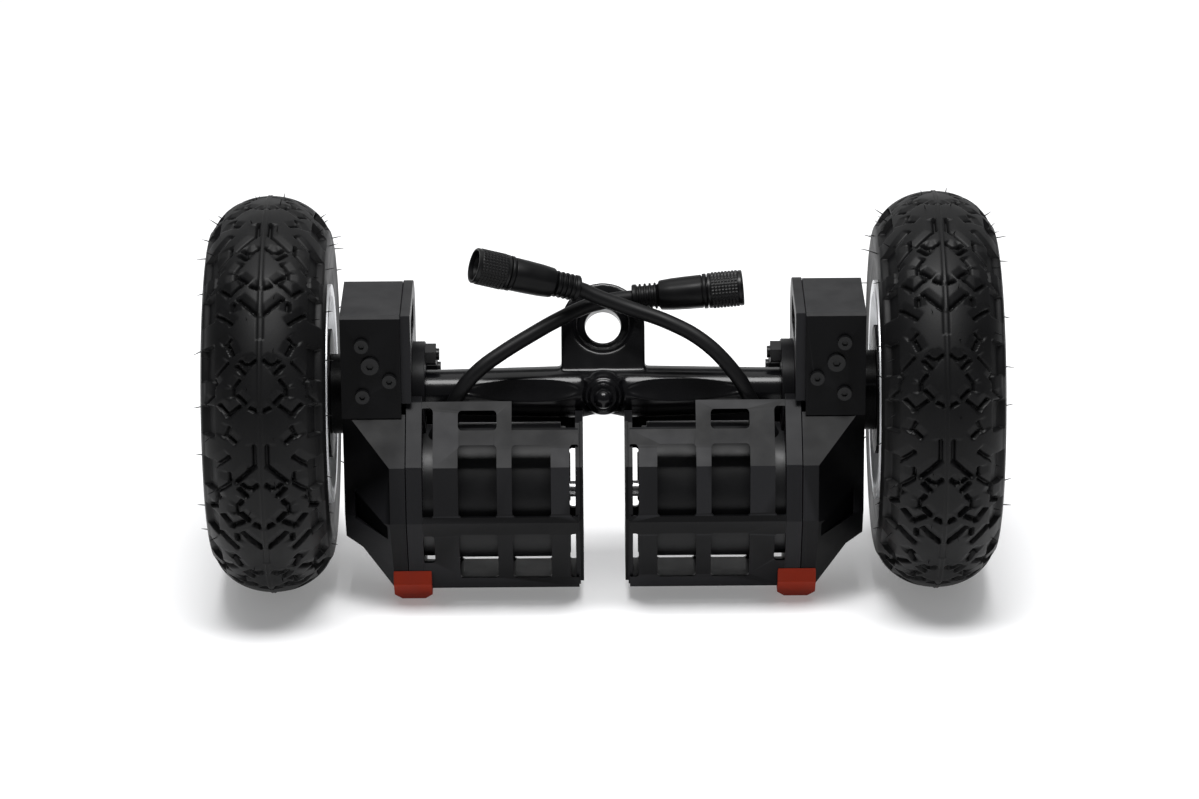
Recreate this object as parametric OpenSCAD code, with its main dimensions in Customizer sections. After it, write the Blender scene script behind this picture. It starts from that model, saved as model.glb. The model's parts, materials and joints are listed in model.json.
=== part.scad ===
// Driven off-road skateboard truck: a forged hanger between two gear drives,
// each with an outrunner motor in a sheet-metal cage and an air-filled tyre.
// Millimetres. +X runs along the axle, +Y towards the rear, +Z up. The floor is
// z = 0 and the origin lies on it, under the middle of the axle.

/* [Wheels] */
// Outer diameter of the tyres
tyre_od = 200; // [196:1:204]
// Width of each tyre over its tread
tyre_w = 61; // [56:1:62]
// Distance from the middle of the truck to the middle of each tyre
wheel_x = 166; // [165:0.5:168]
// Diameter of the rim over its flanges
rim_od = 110; // [106:1:112]
// Width of the rim over its flanges
rim_w = 60; // [59:0.5:60]
// Diameter of the axle
axle_d = 12; // [11.6:0.1:12]

/* [Hanger] */
// Diameter of the hanger's tube at its ends
tube_d = 23.5; // [22:0.5:24]
// Width of the tab that holds the bushings
tab_w = 42; // [40:1:44]
// Thickness of the tab at the bushing seats
tab_t = 20; // [18:1:22]
// Angle by which the tab leans back
tab_lean = 34; // [28:1:38]
// Distance from the axle to the middle of the kingpin bore
tab_reach = 33; // [31:0.5:34]
// Diameter of the kingpin bore
kingpin_d = 18; // [14:0.5:20]
// Diameter of the bushing seats
seat_d = 26; // [24:0.5:28]

/* [Drives] */
// Teeth of the gear on the wheel
gear_teeth = 57; // [56:1:57]
// Teeth of the motor's pinion
pinion_teeth = 21; // [21:1:22]
// Gear module
gear_module = 1.25; // [1.23:0.01:1.26]
// Width of the gears
gear_w = 10; // [8:0.5:11]
// Diameter of the motor's turning can
can_d = 67.5; // [64:0.5:68]
// Diameter of the motor's shaft
shaft_d = 8; // [6:0.5:8]

/* [Cages] */
// Thickness of the cage's sheet
sheet_t = 2; // [1.5:0.1:2.4]
// Radius of the corners of the cage's windows
window_r = 1.8; // [0.5:0.1:2.5]

/* [Cables] */
// Outer diameter of each cable
cable_d = 7.6; // [7:0.1:8]

/* [Hidden] */

$fn = 64;
black_metal = [0.10, 0.10, 0.11];
gloss_black = [0.06, 0.06, 0.07];
rubber_black = [0.13, 0.13, 0.14];
steel = [0.62, 0.63, 0.65];
alloy_white = [0.86, 0.87, 0.88];
foot_orange = [0.85, 0.32, 0.10];

// Axle and motor axis, as [y, z]
axle_c = [0, tyre_od / 2];
gear_pitch_r = gear_module * gear_teeth / 2;
pinion_pitch_r = gear_module * pinion_teeth / 2;
centre_distance = gear_pitch_r + pinion_pitch_r;
motor_y = -17.5;
motor_c = [motor_y, axle_c[1] - sqrt(centre_distance * centre_distance - motor_y * motor_y)];
motor_angle = atan2(motor_c[1] - axle_c[1], motor_c[0] - axle_c[0]);

// Places along X, on the right-hand side
tube_end_x = 98.7;
collar_x = 89;
collar_r = 26;
plate_x = 90;
housing_x = 98.3;
seam = 0.4;
block_x = 100;
housing_end_x = 129.5;
gear_x = 101.5;
cavity_end_x = 123.5;
guard_end_x = 10.4;
guard_end_t = 3.8;
can_x = 19;
can_end_x = 72.8;
base_x = 73.3;
axle_end_x = 194;

// Outline of a drive's lower body and of its cage, front top to rear top, as [y, z]
body_path = [[-33, 107.5], [-58.5, 82], [-58.5, 52.5], [-34, 8], [-1, 8], [23.5, 52.5],
    [23.5, 82]];

// ---------- helpers ----------

// A flat shape drawn in (y, z), made solid from x0 to x1
module prism_x(x0, x1) {
    translate([x0, 0, 0]) rotate([90, 0, 90]) linear_extrude(x1 - x0) children();
}

// A round bar along X
module bar_x(x0, x1, r, c = axle_c, fn = 64) {
    translate([x0, c[0], c[1]]) rotate([0, 90, 0]) cylinder(h = x1 - x0, r = r, $fn = fn);
}

// A shape turned about the axle, from its outline in (radius, x)
module turned_x(outline) {
    translate([0, axle_c[0], axle_c[1]]) rotate([0, 90, 0]) rotate_extrude($fn = 96)
        polygon(outline);
}

// A rectangle with rounded corners, from corner a to corner b
module rounded_window(a, b, r) {
    translate([a[0] + r, a[1]]) square([b[0] - a[0] - 2 * r, b[1] - a[1]]);
    translate([a[0], a[1] + r]) square([b[0] - a[0], b[1] - a[1] - 2 * r]);
    for (x = [a[0] + r, b[0] - r], z = [a[1] + r, b[1] - r])
        translate([x, z]) circle(r = r, $fn = 24);
}

// A hexagon bar or nut along X with a hole
module nut_x(x0, x1, across_flats, bore_r, c) {
    difference() {
        translate([x0, c[0], c[1]]) rotate([0, 90, 0])
            cylinder(h = x1 - x0, r = across_flats / sqrt(3), $fn = 6);
        bar_x(x0 - 1, x1 + 1, bore_r, c, 32);
    }
}

function polar(c, r, a) = [c[0] + r * cos(a), c[1] + r * sin(a)];
function unit(v) = v / norm(v);

// Right-hand normal of the step from a to b, pointing into the cage
function inward(a, b) = let (d = unit(b - a)) [-d[1], d[0]];

// One corner of a path moved inwards by t, on its mitre
function mitred(path, i, t) =
    i == 0 ? path[0] + t * inward(path[0], path[1])
    : i == len(path) - 1 ? path[i] + t * inward(path[i - 1], path[i])
    : let (a = inward(path[i - 1], path[i]), b = inward(path[i], path[i + 1]))
        path[i] + t * (a + b) / (1 + a * b);

function inset_path(path, t) = [for (i = [0 : len(path) - 1]) mitred(path, i, t)];

// The strip of sheet that follows a path
module sheet_strip(path, t) {
    inner = inset_path(path, t);
    polygon(concat(path, [for (i = [len(path) - 1 : -1 : 0]) inner[i]]));
}

// Involute of the base circle rb at radius r: its polar angle
function involute_angle(rb, r) = let (p = acos(min(1, rb / r))) tan(p) * 180 / PI - p;

// Outline of one tooth centred on angle 0, from root to root
function tooth(m, n, slack) = let (
        rp = m * n / 2,
        rb = rp * cos(20),
        ra = rp + m,
        rr = rp - 1.25 * m,
        rs = max(rb, rr),
        half = 90 / n - slack / rp * 90 / PI + involute_angle(rb, rp),
        radii = [rs, (rs + ra) / 2, ra])
    concat(
        [[rr, -(half - involute_angle(rb, rs)) - 0.25]],
        [for (r = radii) [r, -(half - involute_angle(rb, r))]],
        [for (k = [2 : -1 : 0]) [radii[k], half - involute_angle(rb, radii[k])]],
        [[rr, half - involute_angle(rb, rs) + 0.25]]);

// A whole gear outline with a tooth on angle turn
module gear_outline(m, n, turn) {
    polygon([for (i = [0 : n - 1]) for (p = tooth(m, n, 0.08))
        polar([0, 0], p[0], p[1] + turn + i * 360 / n)]);
}

// Cable: rings of a tube swept along a route
cable_sides = 12;
function along(route, i) = i == 0 ? unit(route[1] - route[0])
    : i == len(route) - 1 ? unit(route[i] - route[i - 1])
    : unit(unit(route[i + 1] - route[i]) + unit(route[i] - route[i - 1]));
function ring(c, dir, r) = let (u = unit(cross(dir, [0, 1, 0])), v = cross(dir, u))
    [for (k = [0 : cable_sides - 1]) let (a = k * 360 / cable_sides)
        c + r * cos(a) * u + r * sin(a) * v];
function side_faces(rings, s) = [for (i = [0 : rings - 2]) for (k = [0 : s - 1])
    [i * s + k, i * s + (k + 1) % s, (i + 1) * s + (k + 1) % s, (i + 1) * s + k]];

module swept_cable(route) {
    s = cable_sides;
    n = len(route);
    points = [for (i = [0 : n - 1]) each ring(route[i], along(route, i), cable_d / 2)];
    polyhedron(points, concat([[for (k = [s - 1 : -1 : 0]) k]], side_faces(n, s),
        [[for (k = [0 : s - 1]) (n - 1) * s + k]]), convexity = 6);
}

// Draws the right-hand part, and its mirror image on the left
module on_right() { children(); }
module on_left() { mirror([1, 0, 0]) children(); }

// ---------- hanger ----------

tube_r = tube_d / 2;
tube_mid_r = tube_r + 1.25;
tab_angle = 90 - tab_lean;

// Puts the bushing tab's plane at the axle: y runs up the tab, z out of its front face
module at_tab() {
    translate([0, axle_c[0], axle_c[1]]) rotate([tab_angle, 0, 0]) children();
}

nose_rise = 12;
// Puts +Z along the pivot nose, from the axle outwards
module at_nose() {
    translate([0, axle_c[0], axle_c[1]]) rotate([90 - nose_rise, 0, 0]) children();
}

web_t = 10;
shelf_z = 110.2;
block_side = tab_w / 2 - 0.6;
module hanger() color(gloss_black) {
    rim_r = tab_w / 2;
    difference() {
        union() {
            // tube, a little fuller in the middle
            turned_x([[0, -tube_end_x], [tube_r, -tube_end_x], [tube_r, -80],
                [tube_mid_r, -rim_r - 3], [tube_mid_r, rim_r + 3], [tube_r, 80],
                [tube_r, tube_end_x], [0, tube_end_x]]);
            // bushing tab
            at_tab() translate([0, 0, -tab_t / 2]) linear_extrude(tab_t) {
                translate([0, tab_reach]) circle(r = rim_r, $fn = 96);
                translate([-rim_r, 3]) square([tab_w, tab_reach - 3]);
            }
            // upright front block and its shelf
            prism_x(-block_side, block_side) polygon([[1, 93], [1, 119], [8, 119], [12, 93]]);
            translate([0, 0, 94]) linear_extrude(shelf_z - 94)
                polygon([[1 - block_side, 2], [-6, -14.5], [6, -14.5], [block_side - 1, 2]]);
            // pivot nose
            at_nose() {
                translate([0, 0, 7]) cylinder(h = 9, r1 = 11.2, r2 = 9.5);
                translate([0, 0, 7.5]) cylinder(h = 12.5, r = 7.2);
            }
        }
        // kingpin bore and bushing seats
        at_tab() translate([0, tab_reach, 0]) {
            translate([0, 0, -tab_t]) cylinder(h = 2 * tab_t, d = kingpin_d, $fn = 96);
            for (side = [-1, 1]) translate([0, 0, side * (web_t / 2 + tab_t / 2)])
                cylinder(h = tab_t, d = seat_d, center = true, $fn = 96);
            for (side = [-1, 1]) translate([0, 0, side * (tab_t / 2 + 4)])
                cylinder(h = 10, d = seat_d + 4, center = true, $fn = 96);
        }
        // bores for the axle and the pivot tip
        bar_x(-tube_end_x - 1, tube_end_x + 1, axle_d / 2);
        at_nose() translate([0, 0, 12]) cylinder(h = 20, r = 3);
        // relief under the nose
        translate([0, 30, 0]) rotate([90, 0, 0]) linear_extrude(60)
            polygon([[-15, 86], [-5, 90.8], [5, 90.8], [15, 86]]);
    }
}

module pivot_tip() color(gloss_black) at_nose() {
    translate([0, 0, 12]) cylinder(h = 10, r = 3);
    translate([0, 0, 20]) cylinder(h = 2, r = 6.2);
    translate([0, 0, 22]) cylinder(h = 3, r = 4.9);
    translate([0, 0, 25]) intersection() {
        sphere(r = 4.9);
        cylinder(h = 6, r = 5);
    }
}

module axle() color(steel) bar_x(-axle_end_x, axle_end_x, axle_d / 2);

// ---------- wheel ----------

tyre_r = tyre_od / 2;
bead_r = rim_od / 2 - 4;

section_h = 25;
bead_gap = 2.8;
module tyre() color(rubber_black) {
    w = tyre_w / 2;
    flange = rim_w / 2 - bead_gap;
    belly_r = tyre_r - section_h;
    // half of the section from the crown to the bead, in (radius, x), then back inside it
    outer = concat([for (a = [0 : 10 : 90]) [belly_r + section_h * cos(a), w * sin(a)]],
        [[belly_r - 8, w - 0.7], [belly_r - 15, w - 1.8], [rim_od / 2 + 1.5, flange],
        [bead_r + 0.4, flange]]);
    inner = concat([[bead_r + 0.4, flange - 7], [rim_od / 2 + 2, flange - 7]],
        [for (a = [90 : -15 : 0]) [belly_r + (section_h - 9) * cos(a), (w - 7) * sin(a)]]);
    turned_x(concat([for (p = outer) [p[0], wheel_x + p[1]]],
        [for (p = inner) [p[0], wheel_x + p[1]]],
        [for (i = [len(inner) - 2 : -1 : 0]) [inner[i][0], wheel_x - inner[i][1]]],
        [for (i = [len(outer) - 1 : -1 : 1]) [outer[i][0], wheel_x - outer[i][1]]]));
}

// Half of the split rim, from its joint face at x = 0 outwards, in (radius, x)
hub_r = 19;
bearing_r = 14;
bearing_w = 8;
hub_h = 22;
rim_bolt_r = 28;
module rim_half() {
    r = rim_od / 2;
    h = rim_w / 2;
    difference() {
        union() {
            rotate_extrude($fn = 96) polygon([[r - 14, 0], [bead_r - 3, 0], [bead_r, 6],
                [bead_r, h - 2.5], [r, h - 2.5], [r, h], [r - 6, h], [r - 9, h - 4],
                [r - 9, 6], [r - 14, 5]]);
            rotate_extrude($fn = 96)
                polygon([[8, 0], [hub_r, 0], [hub_r, hub_h - 4], [bearing_r + 2, hub_h - 1],
                    [8, hub_h - 1]]);
            for (i = [0 : 4]) rotate([0, 0, 90 + i * 72]) translate([hub_r - 2, -6, 0])
                linear_extrude(9) polygon([[0, -3], [r - hub_r - 8, 0], [r - hub_r - 8, 12],
                    [0, 15]]);
        }
        translate([0, 0, hub_h - 1 - bearing_w]) cylinder(h = bearing_w + 1, r = bearing_r);
        translate([0, 0, -1]) cylinder(h = hub_h, r = 9);
        for (i = [0 : 4]) rotate([0, 0, 90 + i * 72]) translate([rim_bolt_r, 0, -1])
            cylinder(h = 12, r = 2.55, $fn = 32);
    }
}

module rim_outer() color(alloy_white) translate([wheel_x, axle_c[0], axle_c[1]])
    rotate([0, 90, 0]) difference() {
        rim_half();
        // hole for the valve
        rotate([0, 0, 54]) translate([bead_r - 12, 0, 10]) rotate([0, 90, 0])
            cylinder(h = 20, r = 3, $fn = 32);
    }

module rim_inner() color(alloy_white) translate([wheel_x, axle_c[0], axle_c[1]])
    mirror([1, 0, 0]) rotate([0, 90, 0]) rim_half();

// A bolt through the rim along X, at radius r and angle a
module rim_bolts() color(steel) for (i = [0 : 4]) {
    c = polar(axle_c, rim_bolt_r, i * 72);
    bar_x(wheel_x - 9, wheel_x + 9, 2.5, c, 32);
    nut_x(wheel_x + 9, wheel_x + 13, 8, 2.5, c);
    bar_x(wheel_x - 13, wheel_x - 9, 4.3, c, 32);
    bar_x(wheel_x + 8.9, wheel_x + 14, 2.5, c, 32);
}

module tyre_valve() color(gloss_black) translate([wheel_x + 10, axle_c[0], axle_c[1]])
    rotate([0, 90, 0]) rotate([0, 0, 54]) {
        translate([bead_r - 14, 0, 0]) rotate([0, 90, 0]) cylinder(h = 22, r = 2.9, $fn = 32);
        translate([bead_r - 22, 0, 0]) rotate([0, 90, 0]) cylinder(h = 9, r = 3.6, $fn = 32);
    }

module wheel_bearings() color(steel) for (side = [-1, 1]) {
    mid = wheel_x + side * (hub_h - 1 - bearing_w / 2);
    difference() {
        bar_x(mid - bearing_w / 2, mid + bearing_w / 2, bearing_r);
        bar_x(mid - bearing_w, mid + bearing_w, axle_d / 2 + 0.05);
    }
}

// Sleeve that carries the gear's turning through the housing into the wheel
hub_flange_r = 32;
hub_face_x = wheel_x - hub_h;
module drive_hub() color(black_metal) difference() {
    union() {
        bar_x(gear_x, hub_face_x - 3, 20);
        bar_x(hub_face_x - 8, hub_face_x - 3, hub_flange_r);
        bar_x(hub_face_x - 8, hub_face_x + 1, 13.5);
        for (i = [0 : 4]) bar_x(hub_face_x - 8, wheel_x - 13.1, 4.5, polar(axle_c, rim_bolt_r, i * 72), 32);
    }
    bar_x(gear_x - 1, wheel_x, 8);
}

module wheel_gear() color(steel) difference() {
    prism_x(gear_x, gear_x + gear_w) translate(axle_c)
        gear_outline(gear_module, gear_teeth, motor_angle);
    bar_x(gear_x - 1, gear_x + gear_w + 1, 20);
    for (i = [0 : 5]) bar_x(gear_x - 1, gear_x + gear_w + 1, 4, polar(axle_c, 27, i * 60), 32);
}

module axle_nut() color(steel) {
    nut_x(wheel_x + hub_h - 0.8, wheel_x + hub_h + 4.2, 19, axle_d / 2, axle_c);
}

// ---------- drive housing ----------

front_y = -40;
block_top = 155;
corner_x = 106;
// How the lower body's front corner is cut back, seen from above, as [x, y]
plan_cut = [[housing_x, -58.5], [corner_x, -58.5], [housing_end_x, housing_end_x - corner_x - 58.5],
    [housing_end_x, 45], [housing_x, 45]];
// How its lower outboard corner rises, seen from the front, as [x, z]
front_cut = [[housing_x, 8], [105, 8], [121, 29.7], [housing_end_x, 33.5], [housing_end_x, 108],
    [housing_x, 108]];
// A point on the cover's oblique lower facet, and the facet's outward tilt and heading
facet_point = [106, -51.6, 40];
facet_aim = [112.8, -47.1];

module lower_outline() polygon(concat([[-33, 107.5]],
    [for (i = [1 : 5]) body_path[i]], [[40, 76], [40, 107.5]]));

module block_outline() polygon([[front_y, 101.5], [front_y, block_top - 1.5],
    [front_y + 1.5, block_top], [13, block_top], [40, block_top - 27], [40, 95]]);

// Dark recess between the cover's upright and oblique facets
module cover_recess() intersection() {
    rotate([90, 0, 0]) linear_extrude(80)
        polygon([[107.5, 50], [107.5, 41.5], [124, 48], [124, 63.5]]);
    linear_extrude(160) polygon([[100, -70], [135, -35], [135, -23.5], [100, -58.5]]);
}

module screw_places() {
    for (p = [[119, 140], [105.6, 121.5], [119, 113.5]])
        translate([p[0], front_y, p[1]]) rotate([90, 0, 0]) children();
}

module pivot_screw_place() translate([115, front_y, 129.5]) rotate([90, 0, 0]) children();

module gear_housing() color(black_metal) difference() {
    union() {
        intersection() {
            prism_x(housing_x, housing_end_x) lower_outline();
            linear_extrude(160) polygon(plan_cut);
            translate([0, 60, 0]) rotate([90, 0, 0]) linear_extrude(140) polygon(front_cut);
            translate(facet_point) rotate([0, facet_aim[0], facet_aim[1]])
                translate([-150, -150, -200]) cube([300, 300, 200]);
        }
        prism_x(block_x, housing_end_x) block_outline();
    }
    // room for both gears
    bar_x(housing_x - 1, cavity_end_x, gear_pitch_r + gear_module + 1.1);
    bar_x(housing_x - 1, gear_x + gear_w + 5, pinion_pitch_r + gear_module + 1.4, motor_c);
    // opening for the wheel's sleeve, and the pinion's bearing seat
    bar_x(block_x, housing_end_x + 1, 20.6);
    bar_x(block_x, gear_x + gear_w + 11, 8, motor_c);
    cover_recess();
    screw_places() translate([0, 0, -8]) cylinder(h = 9, r = 2, $fn = 32);
    pivot_screw_place() translate([0, 0, -8]) cylinder(h = 9, r = 3, $fn = 32);
    // window slot in the inboard face
    prism_x(block_x - 1, block_x + 6) difference() {
        polygon([[-30, 118], [-30, 149], [11, 149], [33, 127], [33, 118]]);
        translate(axle_c) circle(r = gear_pitch_r + gear_module + 3);
    }
}

module inner_plate() color(black_metal) difference() {
    prism_x(95, block_x) {
        intersection() {
            translate([-37, 107.8]) square([76, 46.2]);
            union() {
                translate([-37, 100]) square([50, 54]);
                translate([13, 128]) circle(r = 26, $fn = 96);
                translate([-37, 100]) square([76, 28]);
            }
        }
    }
    bar_x(90, block_x + 1, collar_r);
    prism_x(94, block_x + 1) rounded_window([-26, 132], [14, 147], 4);
}

module housing_screws() color(steel) {
    screw_places() {
        translate([0, 0, -8]) cylinder(h = 8, r = 2, $fn = 32);
        socket_head(3.5, 2.6, 1.6);
    }
    pivot_screw_place() {
        translate([0, 0, -8]) cylinder(h = 8, r = 3, $fn = 32);
        socket_head(4.4, 2.2, 2);
    }
}

// Head of a cap screw standing on z = 0
module socket_head(r, h, key_r) difference() {
    cylinder(h = h, r = r, $fn = 32);
    translate([0, 0, h - 1.4]) cylinder(h = 2, r = key_r, $fn = 6);
}

// Places of the screws that hold the motor to its plate
motor_screw_r = 22;
motor_screw_angles = [for (i = [0 : 3]) motor_angle + 45 + i * 90];

module motor_plate() color(black_metal) difference() {
    prism_x(plate_x, housing_x - seam) lower_outline();
    bar_x(plate_x - 1, housing_x + 1, collar_r);
    bar_x(plate_x - 1, housing_x + 1, 9, motor_c);
    for (a = motor_screw_angles)
        bar_x(plate_x - 1, housing_x + 1, 2.1, polar(motor_c, motor_screw_r, a), 32);
}

module clamp_collar() color(black_metal) difference() {
    bar_x(collar_x, block_x, collar_r);
    bar_x(collar_x - 1, tube_end_x, tube_r);
    bar_x(collar_x, block_x + 1, 8.5);
    for (a = collar_angles) bar_x(collar_x - 1, block_x + 1, 3, polar(axle_c, 20.6, a), 32);
}

collar_angles = [18, 90, 306];
module collar_bolts() color(steel) for (a = collar_angles) {
    c = polar(axle_c, 20.6, a);
    bar_x(collar_x - 7, block_x, 3, c, 32);
    nut_x(collar_x - 5.4, collar_x, 10, 3, c);
}

// ---------- motor ----------

can_r = can_d / 2;
magnet_gap = 0.8;
stator_r = can_r - 4.5 - magnet_gap;
gland_foot = [81, -24, 87.8];
gland_tilt = 25;

// Puts +Z along the cable where it leaves the motor
module at_gland() translate(gland_foot) rotate([0, -gland_tilt, 0]) children();

module motor_base() color(steel) {
    difference() {
        union() {
            bar_x(base_x + 6, plate_x, can_r - 0.8, motor_c, 96);
            bar_x(base_x, base_x + 7, can_r - 2.4, motor_c, 96);
            bar_x(base_x - 12, base_x + 1, 11.4, motor_c);
            at_gland() translate([0, 0, -4]) cylinder(h = 6.5, r = 5.4);
        }
        bar_x(base_x - 13, plate_x + 1, shaft_d / 2 + 3.5, motor_c);
        bar_x(collar_x - 0.3, plate_x + 1, collar_r + 0.3);
        for (i = [0 : 7]) bar_x(base_x - 1, plate_x - 6, 4.6, polar(motor_c, 23.5, 22.5 + i * 45), 32);
        for (a = motor_screw_angles)
            bar_x(plate_x - 5, plate_x + 1, 2.1, polar(motor_c, motor_screw_r, a), 32);
    }
}

module motor_stator() color([0.45, 0.30, 0.16]) {
    difference() {
        prism_x(can_x + 14, base_x - 4) translate(motor_c) {
            circle(r = 17);
            for (i = [0 : 11]) rotate(i * 30) {
                translate([15, -2]) square([stator_r - 16, 4]);
                translate([stator_r - 2.5, -5.6]) square([2, 11.2]);
            }
        }
        bar_x(can_x + 13, base_x, 11.4, motor_c);
    }
}

module motor_can() color(gloss_black) difference() {
    union() {
        bar_x(can_x + 2.5, can_end_x, can_r, motor_c, 96);
        bar_x(can_x, can_x + 3, can_r - 2.2, motor_c, 96);
        bar_x(can_x - 1.5, can_x + 1, 9, motor_c);
    }
    bar_x(can_x + 7, can_end_x + 1, can_r - 4.5, motor_c, 96);
    bar_x(can_x - 3, can_x + 8, shaft_d / 2, motor_c);
    for (i = [0 : 7]) rotate_about_motor(i * 45)
        prism_x(can_x - 1, can_x + 8) translate([12, -4.5]) square([13, 9]);
}

module rotate_about_motor(a) translate([0, motor_c[0], motor_c[1]]) rotate([a, 0, 0])
    children();

module motor_shaft() color(steel) {
    bar_x(guard_end_x + 0.6, gear_x + gear_w + 10, shaft_d / 2, motor_c);
}

module pinion() color(steel) difference() {
    prism_x(gear_x, gear_x + gear_w) translate(motor_c)
        gear_outline(gear_module, pinion_teeth, motor_angle + 180 + 180 / pinion_teeth);
    bar_x(gear_x - 1, gear_x + gear_w + 1, shaft_d / 2, motor_c);
}

// Two in the motor's base and one in the housing
shaft_bearing_w = 5;
module shaft_bearings() color(steel) for (b = [[62, 7.5], [84, 7.5], [gear_x + gear_w + 6, 8]])
    difference() {
        bar_x(b[0], b[0] + shaft_bearing_w, b[1], motor_c);
        bar_x(b[0] - 1, b[0] + shaft_bearing_w + 1, shaft_d / 2 + 0.05, motor_c);
    }

// ---------- cage and foot ----------

// Windows of the cage's front, as [x0, x1, z0, z1]; the sheet bends between them
upper_cut = 96.4;
end_gap_x = 17;
front_windows = [
    [84.5, 91, 55.5, 105], [84.5, 91, 25.6, 43.9],
    [53, 72.2, upper_cut, 104], [53, 72.2, 55.5, 90.7], [53, 72.2, 14.8, 44.8],
    [26.3, 45.6, 55.5, 90.7], [26.3, 45.6, 14.8, 44.8],
    [12, end_gap_x, 55.5, 90.7], [12, end_gap_x, 14.8, 44.8]];
rear_windows = [[26.3, 45.6, 33.2, 61.3], [53, 72.2, 33.2, 61.3], [14.2, end_gap_x, 33.2, 61.3],
    [26.3, 45.6, 9.8, 26], [53, 72.2, 9.8, 26], [14.2, end_gap_x, 9.8, 26], [84.5, 91, 9.8, 26]];

module window_cuts(list, y0, y1) {
    for (w = list) translate([0, y1, 0]) rotate([90, 0, 0]) linear_extrude(y1 - y0)
        rounded_window([w[0], w[2]], [w[1], w[3]], window_r);
}

module guard() color(black_metal) difference() {
    prism_x(12.7, plate_x) sheet_strip(body_path, sheet_t);
    window_cuts(front_windows, -70, motor_y);
    window_cuts(rear_windows, motor_y, 30);
    // stepped top edge over the inboard half
    translate([guard_end_x - 1, -70, upper_cut]) cube([45.6 - guard_end_x + 1, 50, 20]);
    // seat of the end plate behind the bars
    translate([12.6, 0, 0]) prism_x(-1, guard_end_x + guard_end_t - 12.6)
        polygon(inset_path(body_path, 1.2));
}

module guard_end_plate() color(black_metal) {
    face = inset_path(body_path, 1.3);
    outline = concat([[-40, 98.5]], [for (i = [1 : 6]) face[i]], [[8, 88], [-24, 98.5]]);
    difference() {
        union() {
            prism_x(guard_end_x + 1.6, guard_end_x + guard_end_t) polygon(outline);
            prism_x(guard_end_x, guard_end_x + 1.7) intersection() {
                polygon(outline);
                polygon(inset_path(body_path, 2.8));
            }
        }
        bar_x(guard_end_x - 1, guard_end_x + 8, shaft_d / 2 + 0.08, motor_c);
        // the hanger passes over the plate's rear corner
        bar_x(guard_end_x - 1, guard_end_x + 8, 17);
    }
}

module foot() color(foot_orange) difference() {
    prism_x(86.6, 105.7)
        polygon([[-40.9, 20.2], [-41, 12.7], [-28.3, 0], [-8, 0], [-5, 3], [-5, 7.95], [-34.1, 7.95]]);
    // cut corners at the floor
    for (side = [[86.6, 1], [105.7, -1]]) translate([side[0], -50, 0]) rotate([0, 45, 0])
        cube([5, 100, 5], center = true);
}

// ---------- cables ----------

// Routes in millimetres, from the gland to the connector
left_route = [[-76.8, -24, 96.9], [-74.9, -24, 102.4], [-72.6, -23.8, 107.1], [-69.6, -23.2, 111.6],
    [-65.6, -22, 116.2], [-59.4, -20, 121.5], [-51.4, -17, 126.4], [-43.5, -13.5, 130.5],
    [-35.6, -9.5, 134], [-27.6, -5, 137.3], [-20.7, -1, 139.7], [-13.7, 3, 141.9],
    [-6.7, 6, 143.8], [0.3, 7.8, 145], [7.8, 8.5, 146.1], [15, 8.5, 146.8]];
right_route = [[76.8, -24, 96.9], [74.2, -24, 102.2], [71.4, -23.8, 107.8], [68.2, -23.2, 113.7],
    [64.1, -22.2, 119.2], [59.9, -21, 124], [55.2, -19.5, 128.6], [49.5, -17.4, 132.9],
    [43.1, -14.8, 136.5], [36.1, -12, 139.3], [28.2, -9, 141.9], [18.7, -5.8, 144.3],
    [9.3, -3.6, 147], [-1.7, -2.4, 150.9], [-12.4, -2, 155.5]];
left_end = left_route[len(left_route) - 1];
right_end = right_route[len(right_route) - 1];

// Directions of the connectors, as [rise, heading] in degrees
left_cable_aim = [5.8, -2];
right_cable_aim = [18, 194];

module aimed(start, aim) translate(start) rotate([0, 90 - aim[0], aim[1]]) children();

module cable_gland() color(gloss_black) at_gland() {
    translate([0, 0, 2.5]) cylinder(h = 3, r = 6, $fn = 6);
    translate([0, 0, 5.5]) cylinder(h = 3, r = 5.6);
    translate([0, 0, 8.5]) cylinder(h = 1.5, r1 = 5.6, r2 = 4.6);
}

connector_l = 55.5;
nut_start = 38;
socket_depth = 12;
module connector_body() color(rubber_black) difference() {
    union() {
        cylinder(h = 2.5, r = 7.2);
        cylinder(h = 14, r = 5.8);
        for (z = [4, 7, 10]) translate([0, 0, z]) cylinder(h = 1.6, r = 6.9);
        translate([0, 0, 12]) cylinder(h = nut_start - 14, r1 = 7.2, r2 = 8.4);
        translate([0, 0, nut_start - 2.5]) cylinder(h = 2, r = 8.8);
        translate([0, 0, 12]) cylinder(h = connector_l - 14, r = 7.1);
    }
    // contact recess in the open end, and its pins
    translate([0, 0, connector_l - socket_depth]) difference() {
        cylinder(h = socket_depth + 1, r = 5.6);
        for (a = [0 : 60 : 300]) rotate(a) translate([3.4, 0, -1])
            cylinder(h = 5, r = 0.8, $fn = 16);
        translate([0, 0, -1]) cylinder(h = 5, r = 0.8, $fn = 16);
    }
}

module coupling_nut() color(gloss_black) difference() {
    translate([0, 0, nut_start]) cylinder(h = connector_l - nut_start, r = 9.15);
    translate([0, 0, nut_start - 1]) cylinder(h = 30, r = 7.35);
}

// ---------- output ----------

hanger();
pivot_tip();
axle();

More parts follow.
